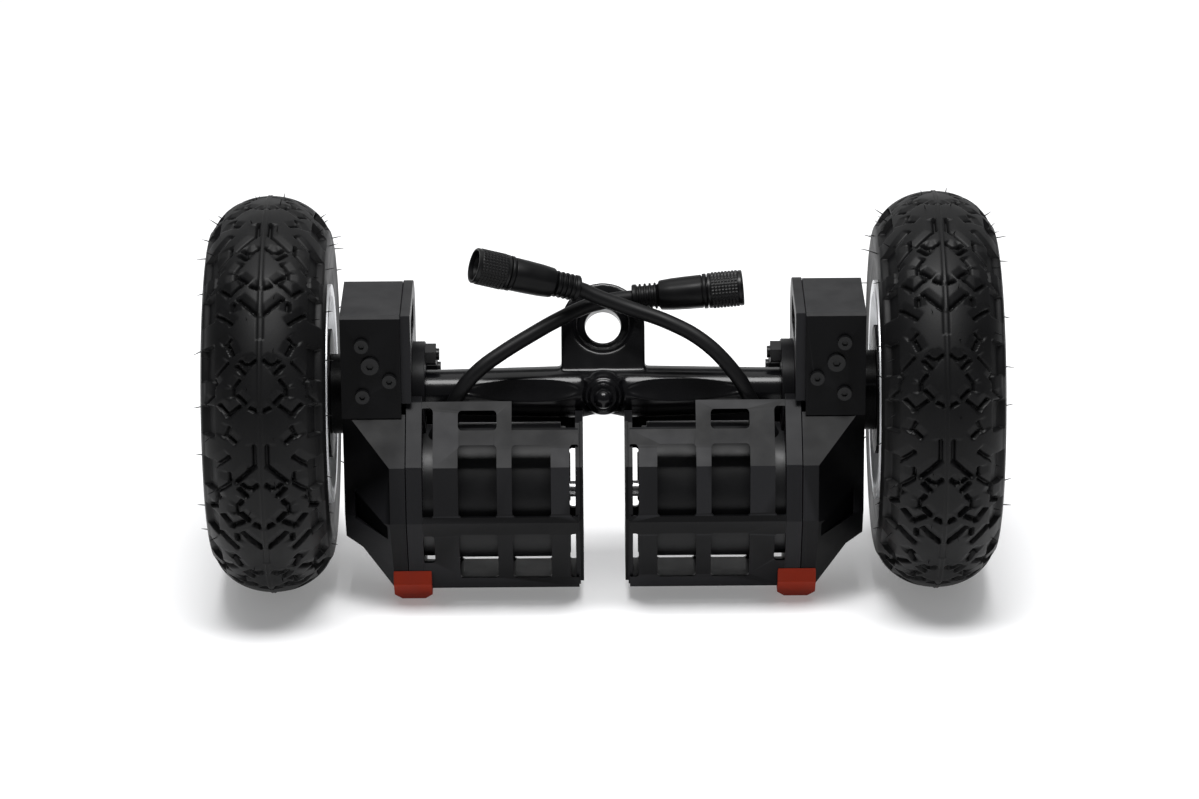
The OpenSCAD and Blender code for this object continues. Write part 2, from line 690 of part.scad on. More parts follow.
on_left() tyre();  // left_tyre
on_left() rim_outer();  // left_rim_outer
on_left() rim_inner();  // left_rim_inner
on_left() rim_bolts();  // left_rim_bolts
on_left() tyre_valve();  // left_tyre_valve
on_left() wheel_bearings();  // left_wheel_bearings
on_left() drive_hub();  // left_drive_hub
on_left() wheel_gear();  // left_wheel_gear
on_left() axle_nut();  // left_axle_nut
on_left() gear_housing();  // left_gear_housing
on_left() inner_plate();  // left_inner_plate
on_left() housing_screws();  // left_housing_screws
on_left() motor_plate();  // left_motor_plate
on_left() clamp_collar();  // left_clamp_collar
on_left() collar_bolts();  // left_collar_bolts
on_left() motor_base();  // left_motor_base
on_left() motor_stator();  // left_motor_stator
on_left() motor_can();  // left_motor_can
on_left() motor_shaft();  // left_motor_shaft
on_left() pinion();  // left_pinion
on_left() shaft_bearings();  // left_shaft_bearings
on_left() guard();  // left_guard
on_left() guard_end_plate();  // left_guard_end_plate
on_left() foot();  // left_foot
on_left() cable_gland();  // left_cable_gland
color(rubber_black) swept_cable(left_route);  // left_cable
aimed(left_end, left_cable_aim) connector_body();  // left_connector_body
aimed(left_end, left_cable_aim) coupling_nut();  // left_coupling_nut

on_right() tyre();  // right_tyre
on_right() rim_outer();  // right_rim_outer
on_right() rim_inner();  // right_rim_inner
on_right() rim_bolts();  // right_rim_bolts
on_right() tyre_valve();  // right_tyre_valve
on_right() wheel_bearings();  // right_wheel_bearings
on_right() drive_hub();  // right_drive_hub
on_right() wheel_gear();  // right_wheel_gear
on_right() axle_nut();  // right_axle_nut
on_right() gear_housing();  // right_gear_housing
on_right() inner_plate();  // right_inner_plate
on_right() housing_screws();  // right_housing_screws
on_right() motor_plate();  // right_motor_plate
on_right() clamp_collar();  // right_clamp_collar
on_right() collar_bolts();  // right_collar_bolts
on_right() motor_base();  // right_motor_base
on_right() motor_stator();  // right_motor_stator
on_right() motor_can();  // right_motor_can
on_right() motor_shaft();  // right_motor_shaft
on_right() pinion();  // right_pinion
on_right() shaft_bearings();  // right_shaft_bearings
on_right() guard();  // right_guard
on_right() guard_end_plate();  // right_guard_end_plate
on_right() foot();  // right_foot
on_right() cable_gland();  // right_cable_gland
color(rubber_black) swept_cable(right_route);  // right_cable
aimed(right_end, right_cable_aim) connector_body();  // right_connector_body
aimed(right_end, right_cable_aim) coupling_nut();  // right_coupling_nut
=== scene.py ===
"""Looks of the driven skateboard truck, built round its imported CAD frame.

Metres, +X along the axle, +Y to the rear, +Z up, floor at z = 0."""

import json
import math
import random

import bmesh
import bpy
import numpy as np
from mathutils import Matrix, Vector

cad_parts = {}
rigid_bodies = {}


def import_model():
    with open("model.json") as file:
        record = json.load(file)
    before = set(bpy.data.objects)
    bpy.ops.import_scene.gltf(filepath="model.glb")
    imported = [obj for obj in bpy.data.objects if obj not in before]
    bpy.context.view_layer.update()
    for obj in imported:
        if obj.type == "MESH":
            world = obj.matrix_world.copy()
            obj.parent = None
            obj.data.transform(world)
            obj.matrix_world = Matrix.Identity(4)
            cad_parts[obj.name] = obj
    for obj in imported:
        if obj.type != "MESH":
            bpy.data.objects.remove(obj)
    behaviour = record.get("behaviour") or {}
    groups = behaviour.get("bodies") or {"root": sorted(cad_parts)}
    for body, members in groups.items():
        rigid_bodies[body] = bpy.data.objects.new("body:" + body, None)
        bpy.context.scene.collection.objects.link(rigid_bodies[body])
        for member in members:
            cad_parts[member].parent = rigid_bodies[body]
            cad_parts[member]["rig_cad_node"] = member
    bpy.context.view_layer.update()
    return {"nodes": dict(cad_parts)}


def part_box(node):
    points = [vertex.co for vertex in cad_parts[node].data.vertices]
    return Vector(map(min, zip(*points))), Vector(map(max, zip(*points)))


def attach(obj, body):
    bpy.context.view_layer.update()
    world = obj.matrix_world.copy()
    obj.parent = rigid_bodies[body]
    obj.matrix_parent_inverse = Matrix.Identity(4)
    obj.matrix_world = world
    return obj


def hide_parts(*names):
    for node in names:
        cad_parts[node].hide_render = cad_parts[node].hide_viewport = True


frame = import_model()
random.seed(7)

MM = 0.001
SIDES = {"left": -1, "right": 1}
axle_low, axle_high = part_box("axle")
AXLE = (axle_low + axle_high) / 2


# ---------- camera ----------

CAMERA_RISE = math.radians(20.5)
CAMERA_DISTANCE = 2.51
CAMERA_LENS = 150
CAMERA_SENSOR = 36
CAMERA_ROLL = math.radians(-0.44)
CAMERA_AIM = (-1.96 * MM, -4.02 * MM)


def make_camera():
    """A long lens in front of the truck and a little above it."""
    up = Vector((0, math.sin(CAMERA_RISE), math.cos(CAMERA_RISE)))
    back = Vector((0, -math.cos(CAMERA_RISE), math.sin(CAMERA_RISE)))
    target = AXLE + Vector((CAMERA_AIM[0], 0, 0)) + up * CAMERA_AIM[1]
    data = bpy.data.cameras.new("camera")
    data.lens, data.sensor_width = CAMERA_LENS, CAMERA_SENSOR
    data.clip_start, data.clip_end = 0.05, 50
    camera = bpy.data.objects.new("camera", data)
    camera.location = target + back * CAMERA_DISTANCE
    turn = back.to_track_quat("Z", "Y").to_matrix() @ Matrix.Rotation(CAMERA_ROLL, 3, "Z")
    camera.rotation_euler = turn.to_euler()
    bpy.context.scene.collection.objects.link(camera)
    bpy.context.scene.camera = camera


# ---------- mesh helpers ----------


def add_object(name, data):
    made = bpy.data.objects.new(name, data)
    bpy.context.scene.collection.objects.link(made)
    return made


def mesh_object(name, points, faces, smooth=True):
    data = bpy.data.meshes.new(name)
    data.from_pydata([tuple(p) for p in points], [], faces)
    data.validate()
    data.polygons.foreach_set("use_smooth", [smooth] * len(data.polygons))
    data.update()
    return add_object(name, data)


def grid_faces(rows, columns, wrap_rows, wrap_columns, first=0):
    """Quads of a grid of points stored row by row."""
    faces = []
    for i in range(rows if wrap_rows else rows - 1):
        below = (i + 1) % rows
        for j in range(columns if wrap_columns else columns - 1):
            right = (j + 1) % columns
            faces.append((first + i * columns + j, first + i * columns + right,
                          first + below * columns + right, first + below * columns + j))
    return faces


def frame_along(direction):
    """Rotation whose z axis is the direction."""
    return Vector(direction).to_track_quat("Z", "Y").to_matrix()


def turned(outline, sides, radius_at=None):
    """Points and faces of a shape turned about z from (radius, z) pairs.

    radius_at(angle, index) scales a ring's radius, for knurls and grips."""
    points, rings = [], []
    for index, (radius, z) in enumerate(outline):
        ring = []
        for k in range(sides):
            angle = 2 * math.pi * k / sides
            r = radius * (radius_at(angle, index) if radius_at else 1)
            ring.append(len(points))
            points.append(Vector((r * math.cos(angle), r * math.sin(angle), z)))
        rings.append(ring)
    faces = []
    for a, b in zip(rings, rings[1:]):
        for k in range(sides):
            n = (k + 1) % sides
            faces.append((a[k], a[n], b[n], b[k]))
    return points, faces


def placed(points, origin, direction):
    turn = frame_along(direction)
    return [Vector(origin) + turn @ p for p in points]


def modify(obj, kind, **settings):
    modifier = obj.modifiers.new(kind.lower(), kind)
    for name, value in settings.items():
        setattr(modifier, name, value)
    return modifier


def applied(obj):
    """Bakes the object's modifiers into its mesh."""
    graph = bpy.context.evaluated_depsgraph_get()
    baked = bpy.data.meshes.new_from_object(obj.evaluated_get(graph))
    obj.modifiers.clear()
    obj.data = baked
    return obj


def copy_of(node, name):
    """A new object with a CAD node's mesh, welded into one surface."""
    data = frame["nodes"][node].data.copy()
    data.name = name
    work = bmesh.new()
    work.from_mesh(data)
    bmesh.ops.remove_doubles(work, verts=work.verts, dist=2e-6)
    work.to_mesh(data)
    work.free()
    return add_object(name, data)


# ---------- materials ----------


class Look:
    """A node material: mottled colour, uneven gloss and a fine bump, with a painted highlight on sharp edges
    if asked.
    """

    def __init__(self, name, colours, roughness, metallic=0.0, mottle=60.0, **sockets):
        self.material = bpy.data.materials.new(name)
        self.material.use_nodes = True
        self.tree = self.material.node_tree
        self.shader = self.tree.nodes["Principled BSDF"]
        self.place = self.node("ShaderNodeTexCoord").outputs["Object"]
        self.normal = None
        self.shader.inputs["Metallic"].default_value = metallic
        for socket, value in sockets.items():
            self.shader.inputs[socket.replace("_", " ")].default_value = value
        noise = self.noise(mottle, detail=6)
        self.colour = self.mix(noise, *colours)
        self.link(self.colour, self.shader.inputs["Base Color"])
        self.link(self.span(noise, *roughness), self.shader.inputs["Roughness"])

    def node(self, kind, **settings):
        made = self.tree.nodes.new(kind)
        for name, value in settings.items():
            setattr(made, name, value)
        return made

    def link(self, output, socket):
        self.tree.links.new(output, socket)

    def noise(self, scale, detail=4, stretch=(1, 1, 1)):
        mapping = self.node("ShaderNodeMapping")
        mapping.inputs["Scale"].default_value = stretch
        self.link(self.place, mapping.inputs["Vector"])
        made = self.node("ShaderNodeTexNoise")
        made.inputs["Scale"].default_value = scale
        made.inputs["Detail"].default_value = detail
        self.link(mapping.outputs["Vector"], made.inputs["Vector"])
        return made.outputs["Fac"]

    def mix(self, factor, first, second):
        made = self.node("ShaderNodeMix", data_type="RGBA")
        self.link(factor, made.inputs["Factor"])
        for socket, value in (("A", first), ("B", second)):
            target = next(s for s in made.inputs if s.name == socket and s.type == "RGBA")
            if isinstance(value, (tuple, list)):
                target.default_value = (*value, 1)
            else:
                self.link(value, target)
        return next(s for s in made.outputs if s.type == "RGBA")

    def span(self, factor, low, high, start=0.3, end=0.7):
        made = self.node("ShaderNodeMapRange")
        made.inputs["From Min"].default_value = start
        made.inputs["From Max"].default_value = end
        made.inputs["To Min"].default_value = low
        made.inputs["To Max"].default_value = high
        self.link(factor, made.inputs["Value"])
        return made.outputs["Result"]

    def bump(self, height, strength, distance):
        made = self.node("ShaderNodeBump")
        made.inputs["Strength"].default_value = strength
        made.inputs["Distance"].default_value = distance
        self.link(height, made.inputs["Height"])
        if self.normal is not None:
            self.link(self.normal, made.inputs["Normal"])
        self.normal = made.outputs["Normal"]
        self.link(self.normal, self.shader.inputs["Normal"])
        return self

    def grain(self, scale, strength, distance, stretch=(1, 1, 1)):
        return self.bump(self.noise(scale, 3, stretch), strength, distance)

    def painted_edge_highlight(self, colour, start=0.52, end=0.58, share=0.6):
        """Painted highlight: edges painted lighter towards a colour, where the surface is sharply convex."""
        pointed = self.node("ShaderNodeNewGeometry").outputs["Pointiness"]
        edge_highlight_share = self.span(pointed, 0, share, start, end)
        self.colour = self.mix(edge_highlight_share, self.colour, colour)
        self.link(self.colour, self.shader.inputs["Base Color"])
        return self

    def dust(self, colour, scale=14, share=0.35):
        """A thin film of lighter dust in loose patches."""
        patches = self.span(self.noise(scale, 5), 0, share, 0.45, 0.75)
        self.colour = self.mix(patches, self.colour, colour)
        self.link(self.colour, self.shader.inputs["Base Color"])
        return self


def make_looks():
    looks = {}

    def add(slot, *arguments, **settings):
        looks[slot] = Look(slot, *arguments, **settings)
        return looks[slot]

    add("forged_black", ((0.002, 0.002, 0.0024), (0.0035, 0.0035, 0.004)), (0.16, 0.22), 0.0, 90,
        Specular_IOR_Level=0.2).grain(900, 0.04, 0.0002)
    # The anodised and sheet parts get a painted highlight: their sharp edges are painted lighter
    add("black_anodised", ((0.0012, 0.0012, 0.0014), (0.002, 0.002, 0.0023)), (0.32, 0.42), 0.0, 70,
        Specular_IOR_Level=0.06).grain(2600, 0.12, 0.0001).painted_edge_highlight((0.02, 0.02, 0.022))
    add("black_sheet", ((0.0012, 0.0012, 0.0014), (0.002, 0.002, 0.0024)), (0.36, 0.46), 0.0, 80,
        Specular_IOR_Level=0.08).grain(3200, 0.15, 0.0001).painted_edge_highlight((0.02, 0.02, 0.022))
    add("tyre", ((0.0016, 0.0016, 0.0018), (0.003, 0.003, 0.0033)), (0.42, 0.56), 0.0, 45,
        Specular_IOR_Level=0.15).grain(1500, 0.25, 0.0002).dust((0.005, 0.0049, 0.0049))
    add("rim_alloy", ((0.72, 0.73, 0.75), (0.82, 0.83, 0.84)), (0.34, 0.46), 0.6, 60
        ).grain(1800, 0.15, 0.0001)
    add("steel", ((0.42, 0.42, 0.43), (0.55, 0.55, 0.56)), (0.25, 0.4), 1.0, 120
        ).grain(900, 0.1, 0.0001, (1, 8, 8))
    add("black_steel", ((0.003, 0.003, 0.0033), (0.006, 0.006, 0.0065)), (0.26, 0.38), 0.0, 150,
        Specular_IOR_Level=0.18).grain(1800, 0.12, 0.0001)
    add("motor_alloy", ((0.007, 0.007, 0.0075), (0.011, 0.011, 0.012)), (0.34, 0.46), 0.1, 90,
        Specular_IOR_Level=0.3).grain(1600, 0.15, 0.0001)
    add("motor_black", ((0.002, 0.002, 0.0023), (0.0035, 0.0035, 0.004)), (0.36, 0.46), 0.0, 60,
        Specular_IOR_Level=0.18).grain(1200, 0.08, 0.0001, (0.3, 4, 4))
    add("copper", ((0.42, 0.17, 0.07), (0.58, 0.27, 0.12)), (0.25, 0.4), 0.9, 150
        ).grain(700, 0.5, 0.0004, (0.2, 3, 3))
    add("orange_rubber", ((0.19, 0.012, 0.002), (0.25, 0.018, 0.003)), (0.5, 0.64), 0.0, 70,
        Specular_IOR_Level=0.12).grain(1400, 0.2, 0.0001)
    add("cable_rubber", ((0.002, 0.002, 0.0022), (0.0035, 0.0035, 0.004)), (0.42, 0.56), 0.0, 60,
        Specular_IOR_Level=0.14).grain(1600, 0.2, 0.0001)
    add("black_plastic", ((0.0018, 0.0018, 0.002), (0.003, 0.003, 0.0033)), (0.36, 0.48), 0.0, 80,
        Specular_IOR_Level=0.12).grain(1500, 0.15, 0.0001)
    add("black_nut", ((0.002, 0.002, 0.0022), (0.0035, 0.0035, 0.0038)), (0.3, 0.42), 0.0, 80,
        Specular_IOR_Level=0.2).grain(1500, 0.12, 0.0001)
    return looks


def wear(obj, slot):
    """Gives an object its only material and names its slot."""
    obj.data.materials.clear()
    obj.data.materials.append(LOOKS[slot].material)
    return obj


# ---------- cables ----------

CABLE_DIAMETER = 7.6 * MM
ROUTES = {
    "left": [(-76.8, -24, 96.9), (-74.9, -24, 102.4), (-72.6, -23.8, 107.1), (-69.6, -23.2, 111.6),
             (-65.6, -22, 116.2), (-59.4, -20, 121.5), (-51.4, -17, 126.4), (-43.5, -13.5, 130.5),
             (-35.6, -9.5, 134), (-27.6, -5, 137.3), (-20.7, -1, 139.7), (-13.7, 3, 141.9),
             (-6.7, 6, 143.8), (0.3, 7.8, 145), (7.8, 8.5, 146.1), (15, 8.5, 146.8)],
    "right": [(76.8, -24, 96.9), (74.2, -24, 102.2), (71.4, -23.8, 107.8), (68.2, -23.2, 113.7),
              (64.1, -22.2, 119.2), (59.9, -21, 124), (55.2, -19.5, 128.6), (49.5, -17.4, 132.9),
              (43.1, -14.8, 136.5), (36.1, -12, 139.3), (28.2, -9, 141.9), (18.7, -5.8, 144.3),
              (9.3, -3.6, 147), (-1.7, -2.4, 150.9), (-12.4, -2, 155.5)],
}
# Rise and heading of each connector, in degrees
AIMS = {"left": (5.8, -2), "right": (18, 194)}
# Sizes along a connector are from the end of its cable, in millimetres
CONNECTOR_LENGTH = 55.5
CONNECTOR_SIDES = 72
RELIEF_RIBS = 4
RELIEF_START = 3.4
RELIEF_PITCH = 2.5
# Grip of the plug body, as (radius, distance along)
GRIP = [(7.2, 13.7), (7.5, 14.4), (8.0, 20), (8.3, 28), (8.4, 34.6)]
GRIP_FLATS = 3
GRIP_FLAT_SHARE = 0.035
SOCKET_FLOOR = 43.4
PIN_CIRCLE = 3.4
PIN_RADIUS = 0.75
PIN_LOW = 43.2
PIN_HIGH = 49
NUT_START = 38
NUT_BORE = 7.4
NUT_ROOT = 8.65
NUT_CREST = 9.1
KNURLS = 34
KNURL_STEPS = 8
KNURL_SHARE = 0.048
KNURL_ROWS = 8
KNURL_PITCH = 1.68


def aim_of(side):
    rise, heading = (math.radians(a) for a in AIMS[side])
    return Vector((math.cos(rise) * math.cos(heading), math.cos(rise) * math.sin(heading), math.sin(rise)))


def cable_curve(side, points):
    """One smooth curve through a route's points, with the cable's thickness."""
    data = bpy.data.curves.new(f"{side}_route", "CURVE")
    data.dimensions = "3D"
    data.bevel_depth = CABLE_DIAMETER / 2
    data.bevel_resolution = 6
    data.resolution_u = 6
    data.use_fill_caps = True
    spline = data.splines.new("BEZIER")
    spline.bezier_points.add(len(points) - 1)
    for i, point in enumerate(spline.bezier_points):
        point.co = points[i]
        before, after = points[max(i - 1, 0)], points[min(i + 1, len(points) - 1)]
        tangent = (after - before).normalized()
        if i == 0:
            reach_in = reach_out = (after - points[i]).length / 3
        elif i == len(points) - 1:
            reach_in = reach_out = (points[i] - before).length / 3
            tangent = aim_of(side)
        else:
            reach_in = (points[i] - before).length / 3
            reach_out = (after - points[i]).length / 3
        point.handle_left = points[i] - tangent * reach_in
        point.handle_right = points[i] + tangent * reach_out
    return add_object(f"{side}_route", data)


def motor_cable(side, points):
    """The cable as a closed round tube, made from its curve."""
    curve = cable_curve(side, points)
    graph = bpy.context.evaluated_depsgraph_get()
    data = bpy.data.meshes.new_from_object(curve.evaluated_get(graph))
    bpy.data.objects.remove(curve)
    return sharpen(add_object(f"{side}_motor_cable", data), degrees=60)


def connector(side):
    """Moulded plug body: ribbed strain relief, tapered grip, shoulder ring, and an open socket with pins."""
    outline = [(0, 0), (6.1, 0), (6.6, 0.5), (6.6, 2.0), (6.2, 2.5), (5.7, 2.6)]
    for rib in range(RELIEF_RIBS):
        z = RELIEF_START + rib * RELIEF_PITCH
        outline += [(5.5, z), (6.5, z + 0.25), (6.65, z + 0.7), (6.5, z + 1.2), (5.5, z + 1.45)]
    outline += [(6.0, 13.2)]
    grip_rings = range(len(outline), len(outline) + len(GRIP))
    outline += GRIP
    outline += [(8.2, 35.1), (7.6, 35.3), (7.6, 35.5), (8.6, 35.6)]
    outline += [(8.8, 35.9), (8.8, 37.1), (8.5, 37.5), (7.1, 37.6)]
    outline += [(7.1, CONNECTOR_LENGTH - 2.4), (6.9, CONNECTOR_LENGTH - 2.1), (5.9, CONNECTOR_LENGTH - 2.0)]
    outline += [(5.6, CONNECTOR_LENGTH - 2.4), (5.6, SOCKET_FLOOR + 0.2)]
    outline += [(5.3, SOCKET_FLOOR), (0, SOCKET_FLOOR)]

    def flats(angle, index):
        """Shallow flats round the grip."""
        if index not in grip_rings:
            return 1
        return 1 - GRIP_FLAT_SHARE * max(0.0, math.cos(GRIP_FLATS * angle)) ** 6

    points, faces = turned([(r * MM, z * MM) for r, z in outline], CONNECTOR_SIDES, flats)
    for place in range(6):
        x, y = (PIN_CIRCLE * MM * f(math.radians(place * 60)) for f in (math.cos, math.sin))
        add_pin(points, faces, x, y)
    add_pin(points, faces, 0, 0)
    start = Vector(ROUTES[side][-1]) * MM
    made = mesh_object(f"{side}_plug_body", placed(points, start, aim_of(side)), faces)
    return sharpen(made, degrees=40)


def add_pin(points, faces, x, y):
    """Adds a round pin, with a blunt point, on the floor of the socket."""
    low, high, radius = PIN_LOW * MM, PIN_HIGH * MM, PIN_RADIUS * MM
    pin, sides = turned([(radius, low), (radius, high - radius), (radius * 0.6, high), (0, high)], 12)
    first = len(points)
    points += [p + Vector((x, y, 0)) for p in pin]
    faces += [tuple(first + v for v in f) for f in sides]


def sharpen(obj, degrees):
    """Smooth shading with creases where faces meet at more than an angle."""
    work = bmesh.new()
    work.from_mesh(obj.data)
    bmesh.ops.remove_doubles(work, verts=work.verts, dist=1e-6)
    limit = math.radians(degrees)
    for edge in work.edges:
        edge.smooth = edge.is_boundary or (edge.is_manifold and edge.calc_face_angle() < limit)
    for face in work.faces:
        face.smooth = True
    work.to_mesh(obj.data)
    work.free()
    return obj


def coupling_nut(side):
    """Free-turning nut with rows of square knurls, a plain ring at each end and an open bore."""
    start, end = NUT_START, CONNECTOR_LENGTH
    outline = [(NUT_BORE, start), (8.5, start), (8.9, start + 0.4), (8.9, start + 1.4), (8.6, start + 1.7)]
    knurled = set()
    for row in range(KNURL_ROWS):
        z = start + 2.0 + row * KNURL_PITCH
        knurled |= {len(outline) + 1, len(outline) + 2}
        outline += [(NUT_ROOT, z), (NUT_CREST, z + 0.25)]
        outline += [(NUT_CREST, z + KNURL_PITCH - 0.45), (NUT_ROOT, z + KNURL_PITCH - 0.2)]
    outline += [(8.6, end - 2.0), (8.9, end - 1.7), (8.9, end - 0.5), (8.5, end)]
    outline += [(7.9, end), (NUT_BORE, end - 0.5), (NUT_BORE, start)]

    def knurls(angle, index):
        """Furrows along the nut, between the knurls of a row."""
        if index not in knurled:
            return 1
        return 1 - KNURL_SHARE * (0.5 + 0.5 * math.cos(KNURLS * angle)) ** 2

    points, faces = turned([(r * MM, z * MM) for r, z in outline], KNURLS * KNURL_STEPS, knurls)
    origin = Vector(ROUTES[side][-1]) * MM
    made = mesh_object(f"{side}_knurled_nut", placed(points, origin, aim_of(side)), faces)
    return sharpen(made, degrees=38)


def make_cords():
    for side in SIDES:
        points = [Vector(p) * MM for p in ROUTES[side]]
        cable = motor_cable(side, points)
        body, nut = connector(side), coupling_nut(side)
        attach(cable, "root")
        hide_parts(f"{side}_cable")
        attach(body, "root")
        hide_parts(f"{side}_connector_body")
        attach(nut, f"{side}_nut")
        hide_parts(f"{side}_coupling_nut")
        wear(cable, "cable_rubber")
        wear(body, "black_plastic")
        wear(nut, "black_nut")


# ---------- tyres ----------

# Section, in millimetres: half an ellipse this high, on walls that lean in by the taper down to the beads
SECTION_HEIGHT = 25
CROWN_EDGE = 76
WALL_TAPER = 3.3
WALL_DROP = 19.6
BEAD_DROP = 23.5
# Raised rings on each wall, by their distance below the widest point
WALL_RINGS = (2.0, 8.5, 15.5)
RING_HEIGHT = 0.4
RING_WIDTH = 0.45
# Parting rib round the crown, with a fine seam along it, and the band where the grooves nearly run out
RIB_HEIGHT = 0.5
RIB_HALF = 1.2
SEAM_DEPTH = 0.25
SEAM_HALF = 0.3
RIB_BAND = 1.5
RIB_GROOVE_SHARE = 0.2
# Ring blocks round the tyre, and mesh steps round each
TREAD_BLOCKS = 10
TREAD_STEPS = 108
# Grooves of the tread's one half, as (distance from the middle, distance round), in millimetres: those of a
# ring block, and those between two blocks, which point the other way round in every second gap
BLOCK_GROOVES = [
    [(1, 62.8), (4.5, 60.2), (8.5, 60.7), (10.5, 62.8)],
    [(8.5, 56), (12.5, 60.2)],
    [(15, 62.3), (22, 55), (22.5, 45.5), (27.5, 40.8)],
    [(27, 57), (23, 51.3)],
    [(9, 53.4), (12, 49.7), (12, 45.5), (8, 41.4)],
    [(9, 40.3), (16, 35), (21.5, 40.8)],
    [(1.5, 37), (5.5, 39.1)],
]
GAP_GROOVES = [
    [(14.5, 29.8), (17, 24.6), (13.5, 21.5)],
    [(2, 21.5), (2, 10.5), (12, 0.5)],
    [(15, 14), (23.5, 6.3)],
    [(15, 5.8), (15, 1.6)],
]
GAP_SPAN = 33
TREAD_PHASE = 11.5
TREAD_CREASE = 48
GROOVE_DEPTH = 2.7
GROOVE_END = 0.8
# The grooves fade out towards this distance from the middle
GROOVE_LIMIT = 28.2
GROOVE_FADE = 1.2
# The tread fades in over this height, from this far above the widest point
TREAD_LOW = 7
TREAD_FADE = 2
# Section of a groove: distances from its upright wall, and the share of its depth there
GROOVE_REACH = (0, 0.6, 1.6, 2.3, 6)
GROOVE_SHARE = (0, 1, 1, 0.36, 0)
# Shoulder knobs: their middles round each block and gap, half length, and the slope at their ends
KNOBS = (17.3, 47.6)
KNOB_HALF = 6.8
KNOB_SLOPE = 0.9
# Floor between the knobs: where it starts, from the middle, and how deep it lies
SHOULDER_START = 22.8
SHOULDER_DEPTH = 2.7
# Rings of vent hairs, by their angle round the section, and hairs in each ring
HAIR_RINGS = (-80, -55, -12, 12, 55, 80)
HAIRS = 18
# No hairs where the sine of the turn is under this, near the floor
HAIR_LOW = -0.8


def groove(across, round_, start, end):
    """Depth share of one groove, cut on the +round side of the segment from start to end."""
    a, b = np.array(start, float), np.array(end, float)
    length = np.linalg.norm(b - a)
    along_dir = (b - a) / length
    side_dir = np.array([-along_dir[1], along_dir[0]])
    if side_dir[1] < 0:
        side_dir = -side_dir
    dx, dy = across - a[0], round_ - a[1]
    along = dx * along_dir[0] + dy * along_dir[1]
    beside = dx * side_dir[0] + dy * side_dir[1]
    over = np.maximum(np.maximum(-along, along - length), 0)
    return np.interp(beside, GROOVE_REACH, GROOVE_SHARE) * np.clip(1 - over / GROOVE_END, 0, 1)


def tread_strokes(pitch):
    """The grooves of two neighbouring blocks and their gaps."""
    strokes = []
    for shift, flipped in ((0, False), (pitch, True)):
        strokes += [[(x, v + shift) for x, v in stroke] for stroke in BLOCK_GROOVES]
        for stroke in GAP_GROOVES:
            strokes.append([(x, (GAP_SPAN - v if flipped else v) + shift) for x, v in stroke])
    return strokes


def tread_depth(across, round_, pitch):
    """How deep the tread is cut, in millimetres, at each point."""
    depth = np.zeros_like(across)
    for stroke in tread_strokes(pitch):
        for start, end in zip(stroke, stroke[1:]):
            for turn in (-2 * pitch, 0, 2 * pitch):
                a, b = (start[0], start[1] + turn), (end[0], end[1] + turn)
                depth = np.maximum(depth, groove(np.abs(across), round_, a, b))
    return depth * GROOVE_DEPTH


def tyre_section(half_width, belly):
    """The smooth section from bead to bead: distances across and from the axle, and its normals."""
    crown = np.radians(np.linspace(-CROWN_EDGE, CROWN_EDGE, 117))
    edge = np.radians(np.linspace(CROWN_EDGE + 2, 90, 5))
    down = np.linspace(0.04, 1, 22)
    inner = half_width - WALL_TAPER
    wall_x = np.concatenate([half_width * np.sin(edge), half_width - WALL_TAPER * down, [inner]])
    wall_r = np.concatenate([belly + SECTION_HEIGHT * np.cos(edge), belly - WALL_DROP * down,
                             [belly - BEAD_DROP]])
    across = np.concatenate([-wall_x[::-1], half_width * np.sin(crown), wall_x])
    radius = np.concatenate([wall_r[::-1], belly + SECTION_HEIGHT * np.cos(crown), wall_r])
    slope = np.stack([np.gradient(across), np.gradient(radius)], 1)
    slope /= np.linalg.norm(slope, axis=1)[:, None]
    return across, radius, np.stack([-slope[:, 1], slope[:, 0]], 1)


def tyre_cut(across, radius, round_, pitch, belly):
    """How far the surface sinks below the smooth section: tread, shoulders, parting rib and wall rings."""
    x_grid, v_grid = np.meshgrid(across, round_)
    near = np.abs(x_grid)
    grooves = tread_depth(x_grid, v_grid, pitch) * np.clip((GROOVE_LIMIT - near) / GROOVE_FADE, 0, 1)
    knob = np.zeros_like(near)
    for middle in KNOBS:
        apart = np.abs((v_grid - middle + pitch / 2) % pitch - pitch / 2)
        knob = np.maximum(knob, np.clip((KNOB_HALF - apart) / KNOB_SLOPE + 0.5, 0, 1))
    shoulder = np.clip(near - SHOULDER_START, 0, 1) * (1 - knob) * SHOULDER_DEPTH
    on_crown = np.clip((radius[None, :] - (belly + TREAD_LOW)) / TREAD_FADE, 0, 1)
    cut = np.maximum(grooves, shoulder) * on_crown
    rib = RIB_HEIGHT * np.exp(-(x_grid / RIB_HALF) ** 6) - SEAM_DEPTH * np.exp(-(x_grid / SEAM_HALF) ** 2)
    cut = np.where(near < RIB_BAND, cut * RIB_GROOVE_SHARE, cut) + (RIB_HEIGHT - rib) * on_crown
    wall = np.maximum(belly - radius, 0)[None, :]
    for ring in WALL_RINGS:
        cut = cut - RING_HEIGHT * np.exp(-((wall - ring) / RING_WIDTH) ** 2)
    return cut


